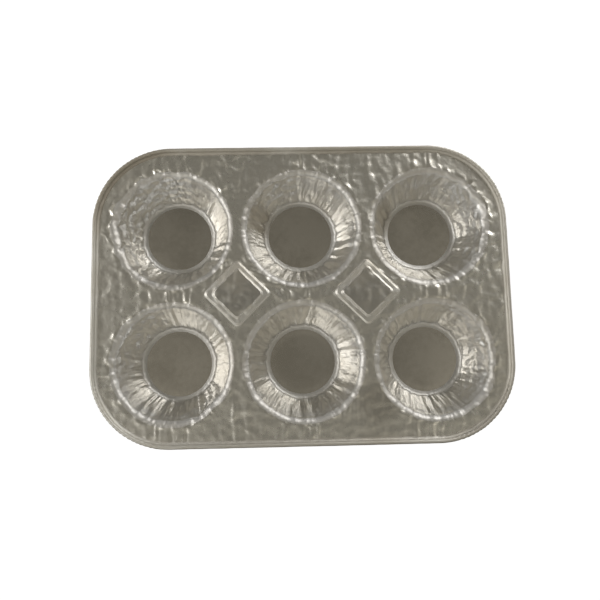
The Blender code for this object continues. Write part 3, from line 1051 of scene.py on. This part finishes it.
@functools.cache
def finish_of(slot):
    """The material of a slot: tarnished metal with crinkles, rolling lines, stains and painted shade."""
    finish = FINISHES[slot]
    colours = bpy.context.scene.pan_colours
    sizes = bpy.context.scene.pan_sizes
    colour = (*getattr(colours, finish.colour), 1)
    stain_and_shade = (*colours.stain_and_shade, 1)
    made = bpy.data.materials.new(slot)
    made.use_nodes = True
    made.diffuse_color = colour
    plan = Plan(made.node_tree)
    vector = plan.field("ShaderNodeTexCoord", "Object")
    values = {"Vector": vector, "Foil": colour, "Tarnish": (*colours.tarnish, 1)}
    values |= {"Amount": finish.tarnish, "Gloss": colours.roughness + finish.rougher}
    patches = plan.place(tarnish_group(), values)
    base = patches["Color"]
    roughness = patches["Roughness"]
    crinkles = plan.place(crinkle_group(), {"Vector": vector, "Depth": finish.crinkle})["Height"]
    height = crinkles + plan.place(rolling_group(), {"Vector": vector, "Depth": finish.rolling})["Height"]
    if slot == "crimped_foil":
        # Streaks run down the walls, and the bends at the mouth and the foot are rougher and darker;
        # the darkening at the foot is painted shade.
        _, _, wall_length = wall_profile(sizes)
        u, v, _ = plan.split(plan.field("ShaderNodeAttribute", "Vector", attribute_name="wall_map"))
        height = height + plan.noise(plan.combine(u, v * 0.07, 0), 520.0, 4.0) * 0.00008
        foot = plan.rise(v, *(wall_length - left for left in FOOT_WEAR_AND_SHADE))
        lip = plan.fall(v, *LIP_BY_RUN)
        roughness = roughness + lip * 0.13 + foot * 0.09
        # The foot darkens towards the stain colour as painted shade; the bend at the mouth darkens too.
        base = plan.blend(foot * 0.20 + lip * 0.30, base, stain_and_shade)
    if slot == "boss_foil":
        # A boss is duller on its sides than on its face.
        top = DECK_TOP + sizes.boss_height
        _, _, z = plan.split(vector)
        roughness = roughness + plan.fall(z, *(top - below for below in WORN_BOSS_SIDE)) * 0.14
    # The spots darken the foil towards the stain colour; those of the rim, and some of the walls and the
    # deck, are painted shade.
    if finish.spots:
        x, y, _ = plan.split(vector)
        base = plan.blend(plan.nearness(x, y, finish.spots), base, stain_and_shade)
    shader = made.node_tree.nodes["Principled BSDF"]
    shader.inputs["Metallic"].default_value = 1.0
    plan.feed(shader.inputs["Base Color"], base)
    plan.feed(shader.inputs["Roughness"], roughness)
    bump = plan.field("ShaderNodeBump", 0, {"Height": height, "Distance": 1.0, "Strength": 1.0})
    plan.feed(shader.inputs["Normal"], bump)
    return made


# Operators, one for each region of the pan


class PAN_OT_deck(bpy.types.Operator):
    """Presses the pleated sheet round the cups and bosses"""

    bl_idname = "pan.deck"
    bl_label = "Deck"

    def execute(self, context):
        sizes = context.scene.pan_sizes
        loops = [pan_outline(sizes, rim_widths(sizes)[1])]
        loops += [cup_circle(centre, sizes.mouth_radius) for centre in CUP_CENTRES.values()]
        loops += [boss_outline(sizes, centre, 0.0) for centre in BOSS_CENTRES.values()]
        corners = []
        edges = []
        for loop in loops:
            start = len(corners)
            corners.extend(loop.tolist())
            edges.extend((start + one, start + (one + 1) % len(loop)) for one in range(len(loop)))
        points = [Vector(point) for point in corners + self.inner_points(sizes).tolist()]
        made = delaunay_2d_cdt(points, edges, [], 0, 0.0000001, False)
        flat = np.array([tuple(point) for point in made[0]])
        faces = np.array(made[2])
        faces = faces[self.on_deck(sizes, flat[faces].mean(axis=1), 0.0)].tolist()
        clear_of_mouths = smooth_step(self.from_mouths(sizes, flat), *RELIEF_FROM_MOUTH)
        clear_of_bosses = smooth_step(self.from_bosses(sizes, flat), *RELIEF_FROM_BOSS)
        points = np.hstack((flat, np.full((len(flat), 1), DECK_TOP)))
        press = upright(clear_of_mouths * clear_of_bosses)
        base = sheet_mesh("deck_sheet", points, faces, press, clear_of_bosses)
        values = inputs_of(sizes, "pleat_height", "flow_height", "crease_height", "crimp_depth", "crimps")
        values |= inputs_of(sizes, "crumple_depth", "drift", "mouth_radius")
        values["Seed"] = DECK_SEED
        press_piece("pleated_deck", "deck", "deck_foil", relief_tree(), values, base)
        return {"FINISHED"}

    def from_mouths(self, sizes, points):
        """Distance from each point to the nearest cup's mouth."""
        ways = [np.hypot(*(points - np.array(centre.xy)).T) for centre in CUP_CENTRES.values()]
        return np.min(ways, axis=0) - sizes.mouth_radius

    def from_bosses(self, sizes, points):
        """Distance from each point to the nearest side of a boss, by its two diagonals."""
        corner = sizes.boss_corner
        ways = []
        for centre in BOSS_CENTRES.values():
            across = np.abs(points[:, 0] - centre.x + points[:, 1] - centre.y) / math.sqrt(2)
            along = np.abs(points[:, 0] - centre.x - points[:, 1] + centre.y) / math.sqrt(2)
            past = np.stack((across, along)) - (sizes.boss_half - corner)
            ways.append(np.hypot(*np.maximum(past, 0)) + np.minimum(past.max(axis=0), 0) - corner)
        return np.min(ways, axis=0)

    def from_rim(self, sizes, points):
        """Distance from each point in to the deck's outer edge."""
        corner = sizes.corner_radius
        past = np.abs(points.T) - np.array([[HALF_LENGTH - corner], [HALF_WIDTH - corner]])
        outside = np.hypot(*np.maximum(past, 0))
        return corner - rim_widths(sizes)[1] - outside - np.minimum(past.max(axis=0), 0)

    def on_deck(self, sizes, points, margin):
        ways = [way(sizes, points) for way in (self.from_mouths, self.from_bosses, self.from_rim)]
        return np.min(ways, axis=0) > margin

    def inner_points(self, sizes):
        """Points in offset rows over the deck, clear of its edges."""
        grain = sizes.grain
        rows = np.arange(-HALF_WIDTH, HALF_WIDTH, grain * math.sqrt(3) / 2)
        line = np.arange(-HALF_LENGTH, HALF_LENGTH, grain)
        x = line[None, :] + (np.arange(len(rows)) % 2)[:, None] * grain / 2
        y = np.repeat(rows[:, None], len(line), axis=1)
        points = np.stack((x.ravel(), y.ravel()), axis=1)
        return points[self.on_deck(sizes, points, grain * 0.55)]


class PAN_OT_cup_walls(bpy.types.Operator):
    """Presses the six crimped cup walls"""

    bl_idname = "pan.cup_walls"
    bl_label = "Cup Walls"

    def execute(self, context):
        sizes = context.scene.pan_sizes
        slope, straight, _ = wall_profile(sizes)
        values = inputs_of(sizes, "mouth_radius", "mouth_bend", "heel_bend", "ledge_width", "ledge_tilt")
        values |= inputs_of(sizes, "crimps", "crimp_depth", "crumple_depth", "drift", "groove_depth")
        values |= {"Ledge Bend": LEDGE_BEND, "Slope": slope, "Straight": straight}
        for number, cup in enumerate(CUPS):
            values["Centre"] = CUP_CENTRES[cup] + Vector((0, 0, DECK_TOP))
            values["Seed"] = CUP_SEED + CUP_SEED_STEP * number
            press_piece(f"crimped_wall_{cup}", f"cup_wall_{cup}", "crimped_foil", cup_wall_tree(), values)
        return {"FINISHED"}


class PAN_OT_cup_floors(bpy.types.Operator):
    """Presses the six flat cup floors"""

    bl_idname = "pan.cup_floors"
    bl_label = "Cup Floors"

    def execute(self, context):
        sizes = context.scene.pan_sizes
        radii = np.linspace(sizes.floor_radius, CROWN_HOLE, FLOOR_RINGS)
        weights = smooth_step(sizes.floor_radius - radii, *RELIEF_IN_FLOOR)
        for number, cup in enumerate(CUPS):
            rings = []
            press = []
            for radius, weight in zip(radii, weights):
                flat = cup_circle(CUP_CENTRES[cup], radius)
                height = np.full((AROUND_CUP, 1), sizes.foil + FLOOR_CROWN * weight)
                rings.append(np.hstack((flat, height)))
                press.append(upright(np.full(AROUND_CUP, weight)))
            base = ring_mesh(f"floor_{cup}", rings, press, crown=True)
            values = {"Wave Height": FLOOR_WAVE, "Seed": FLOOR_SEED + number}
            name = f"smooth_floor_{cup}"
            press_piece(name, f"cup_floor_{cup}", "floor_foil", relief_tree(), values, base)
        return {"FINISHED"}


class PAN_OT_bosses(bpy.types.Operator):
    """Presses the two raised squares"""

    bl_idname = "pan.bosses"
    bl_label = "Bosses"

    def execute(self, context):
        sizes = context.scene.pan_sizes
        slope = sizes.boss_slope
        across = short_slope(sizes)
        face_half = sizes.boss_half - slope
        steps = stepped_slope(sizes)
        for share in np.linspace(*FACE_SHARES, FACE_RINGS):
            steps.append((slope + face_half * share, sizes.boss_height))
        for side, centre in BOSS_CENTRES.items():
            rings = []
            press = []
            for inset, height in steps:
                flat = boss_outline(sizes, centre, inset)
                outward = flat - np.array(centre.xy)
                outward = outward / np.linalg.norm(outward, axis=1, keepdims=True)
                on_shelf = smooth_step(inset, 0.0, across) * (1 - smooth_step(inset, slope - across, slope))
                lifted = SHELF_LEAN[side] * on_shelf * outward.sum(axis=1, keepdims=True) / math.sqrt(2)
                rings.append(np.hstack((flat, DECK_TOP + height + lifted)))
                weight = float(smooth_step(inset, *RELIEF_IN_BOSS))
                lean = weight * (1.0 if inset < slope + 0.001 else 0.0)
                press.append(np.hstack((outward * lean, np.full((len(flat), 1), weight))))
            base = ring_mesh(f"boss_sheet_{side}", rings, press, crown=True)
            values = {"Flow Height": BOSS_FLOW, "Crease Height": BOSS_CREASE, "Wave Height": BOSS_WAVE}
            values["Seed"] = BOSS_SEED
            press_piece(f"raised_boss_{side}", f"boss_{side}", "boss_foil", relief_tree(), values, base)
        return {"FINISHED"}


class PAN_OT_rim_step(bpy.types.Operator):
    """Presses the step that rises from the deck to the curl"""

    bl_idname = "pan.rim_step"
    bl_label = "Rim Step"

    def execute(self, context):
        sizes = context.scene.pan_sizes
        curl_inside, rim_width = rim_widths(sizes)
        rise = curl_height(sizes) - DECK_TOP
        rings = []
        press = []
        free = []
        for angle in np.linspace(math.pi / 2, 0, STEP_RINGS):
            flat = pan_outline(sizes, rim_width - (rim_width - curl_inside) * math.sin(angle))
            height = np.full((len(flat), 1), DECK_TOP + rise * (1 - math.cos(angle)))
            rings.append(np.hstack((flat, height)))
            free.append(np.full(len(flat), 1 - math.sin(angle)))
            press.append(upright(free[-1]))
        base = ring_mesh("step_sheet", rings, press, free=free)
        values = inputs_of(sizes, "pleat_height", "flow_height", "crease_height", "crumple_depth", "drift")
        values["Seed"] = DECK_SEED
        press_piece("rim_rise", "rim_step", "step_foil", relief_tree(), values, base)
        return {"FINISHED"}


class PAN_OT_rim_curl(bpy.types.Operator):
    """Rolls the open bead round the pan's edge"""

    bl_idname = "pan.rim_curl"
    bl_label = "Rim Curl"

    def execute(self, context):
        sizes = context.scene.pan_sizes
        values = inputs_of(sizes, "corner_radius", "curl_radius")
        values |= {"Height": curl_height(sizes), "Seed": CURL_SEED}
        press_piece("rolled_edge", "rim_curl", "curl_foil", rolled_rim_tree(), values)
        return {"FINISHED"}


class PAN_OT_stage(bpy.types.Operator):
    """Sets the pale floor, the soft lights and the camera"""

    bl_idname = "pan.stage"
    bl_label = "Stage"

    def execute(self, context):
        values = context.scene.pan_stage
        self.add_floor()
        self.add_world(context, values)
        for side, (azimuth, elevation, size) in SOFTBOXES.items():
            self.add_softbox(side, azimuth, elevation, size, getattr(values, f"{side}_glow"))
        self.add_camera(context, values)
        context.scene.view_settings.view_transform = "Standard"
        return {"FINISHED"}

    def rays(self, plan):
        """1 for rays from the camera, and 1 for those mirrored or let through on their way."""
        kinds = ("Is Camera Ray", "Is Glossy Ray", "Is Transmission Ray")
        outputs = plan.node("ShaderNodeLightPath").outputs
        camera, glossy, through = (Field(plan, outputs[kind]) for kind in kinds)
        return camera, plan.larger(glossy, through)

    def add_floor(self):
        """A pale floor that the camera sees as white with the pan's shadow on it."""
        mesh = bpy.data.meshes.new("pale_floor")
        corners = [(x * STAGE_HALF, y * STAGE_HALF, 0) for x, y in ((-1, -1), (1, -1), (1, 1), (-1, 1))]
        mesh.from_pydata(corners, [], [(0, 1, 2, 3)])
        floor = new_object("pale_floor", mesh)
        finish = bpy.data.materials.new("pale_floor")
        finish.use_nodes = True
        finish.node_tree.nodes.remove(finish.node_tree.nodes["Principled BSDF"])
        plan = Plan(finish.node_tree)
        painted = plan.field("ShaderNodeBsdfDiffuse", 0, {"Color": (0.80, 0.80, 0.80, 1)})
        shaded = plan.field("ShaderNodeBsdfDiffuse", 0, {"Color": (0.24, 0.24, 0.24, 1)})
        white = plan.field("ShaderNodeEmission", 0, {"Color": WHITE, "Strength": 0.9})
        seen = plan.field("ShaderNodeAddShader", 0, {0: shaded, 1: white})
        seen_rays = plan.larger(*self.rays(plan))
        choice = plan.field("ShaderNodeMixShader", 0, {0: seen_rays, 1: painted, 2: seen})
        plan.feed(finish.node_tree.nodes["Material Output"].inputs["Surface"], choice)
        mesh.materials.append(finish)

    def add_world(self, context, values):
        """A warm, dim ceiling, a lighter ring at the height of lamps, and white walls low down."""
        world = bpy.data.worlds.new("soft_room")
        world.use_nodes = True
        context.scene.world = world
        plan = Plan(world.node_tree)
        x, y, height = plan.split(plan.field("ShaderNodeTexCoord", "Generated"))
        ring = plan.rise(height, 0.50, 0.65) * plan.fall(height, 0.78, 0.88)
        around = plan.math("ARCTAN2", y, x)
        strips = plan.rise(plan.sin(around * STRIPS + 0.6), -0.35, 0.35) * 1.5 + 0.25
        ceiling = plan.noise(plan.combine(x, y, 0), 5.0, 3.0, 1.0) * 1.2 + 1.25 - y * 1.3
        lit = 1 - plan.nearness(x, y, CEILING_SHADES)
        light = (ring * strips * values.ring + ceiling * values.sky) * lit
        camera, mirrored = self.rays(plan)
        white = plan.larger(camera, mirrored * plan.fall(height, *WHITE_WALLS))
        background = world.node_tree.nodes["Background"]
        plan.feed(background.inputs["Strength"], light + white * (1 - light))
        plan.feed(background.inputs["Color"], plan.blend(white, ROOM_TINT, WHITE))

    def add_softbox(self, side, azimuth, elevation, size, glow):
        """A lamp that looks at the pan. Azimuth is anticlockwise from the +X axis."""
        light = bpy.data.lights.new(f"softbox_{side}", "AREA")
        light.shape = "RECTANGLE"
        light.color = SOFTBOX_TINT
        light.size, light.size_y = size
        light.energy = glow * math.pi * light.size * light.size_y
        lamp = new_object(light.name, light)
        turn = math.radians(azimuth)
        lift = math.radians(elevation)
        way = Vector((math.cos(turn) * math.cos(lift), math.sin(turn) * math.cos(lift), math.sin(lift)))
        lamp.location = way * SOFTBOX_DISTANCE
        lamp.rotation_euler = way.to_track_quat("Z", "Y").to_euler()

    def add_camera(self, context, values):
        lens = bpy.data.cameras.new("camera")
        lens.lens = values.lens
        lens.sensor_width = 36.0
        lens.clip_start = 0.01
        camera = new_object("camera", lens)
        lean = Vector((math.sin(values.azimuth), -math.cos(values.azimuth), 0)) * math.sin(values.tilt)
        back = lean + Vector((0, 0, math.cos(values.tilt)))
        right = Vector((0, 1, 0)).cross(back).normalized()
        up = back.cross(right)
        turned_right = right * math.cos(values.roll) + up * math.sin(values.roll)
        turned_up = up * math.cos(values.roll) - right * math.sin(values.roll)
        pose = Matrix((turned_right, turned_up, back)).transposed().to_4x4()
        pose.translation = Vector(values.target) + back * values.distance
        camera.matrix_world = pose
        context.scene.camera = camera


class PAN_PT_panel(bpy.types.Panel):
    """Lists the pan's regions and their sizes"""

    bl_label = "Muffin Pan"
    bl_space_type = "VIEW_3D"
    bl_region_type = "UI"
    bl_category = "Muffin Pan"

    def draw(self, context):
        for operator in OPERATORS:
            self.layout.operator(operator.bl_idname)
        for name in GROUPS:
            group = getattr(context.scene, name)
            box = self.layout.box()
            for value in group.__annotations__:
                box.prop(group, value)


GROUPS = {"pan_sizes": PanSizes, "pan_colours": PanColours, "pan_stage": StageValues}
OPERATORS = (
    PAN_OT_deck,
    PAN_OT_cup_walls,
    PAN_OT_cup_floors,
    PAN_OT_bosses,
    PAN_OT_rim_step,
    PAN_OT_rim_curl,
    PAN_OT_stage,
)


def register():
    for name, group in GROUPS.items():
        bpy.utils.register_class(group)
        setattr(bpy.types.Scene, name, PointerProperty(type=group))
    for operator in OPERATORS:
        bpy.utils.register_class(operator)
    bpy.utils.register_class(PAN_PT_panel)


def unregister():
    bpy.utils.unregister_class(PAN_PT_panel)
    for operator in reversed(OPERATORS):
        bpy.utils.unregister_class(operator)
    for name, group in GROUPS.items():
        delattr(bpy.types.Scene, name)
        bpy.utils.unregister_class(group)


def main():
    register()
    bpy.ops.pan.deck()
    bpy.ops.pan.cup_walls()
    bpy.ops.pan.cup_floors()
    bpy.ops.pan.bosses()
    bpy.ops.pan.rim_step()
    bpy.ops.pan.rim_curl()
    bpy.ops.pan.stage()


if __name__ == "__main__":
    main()
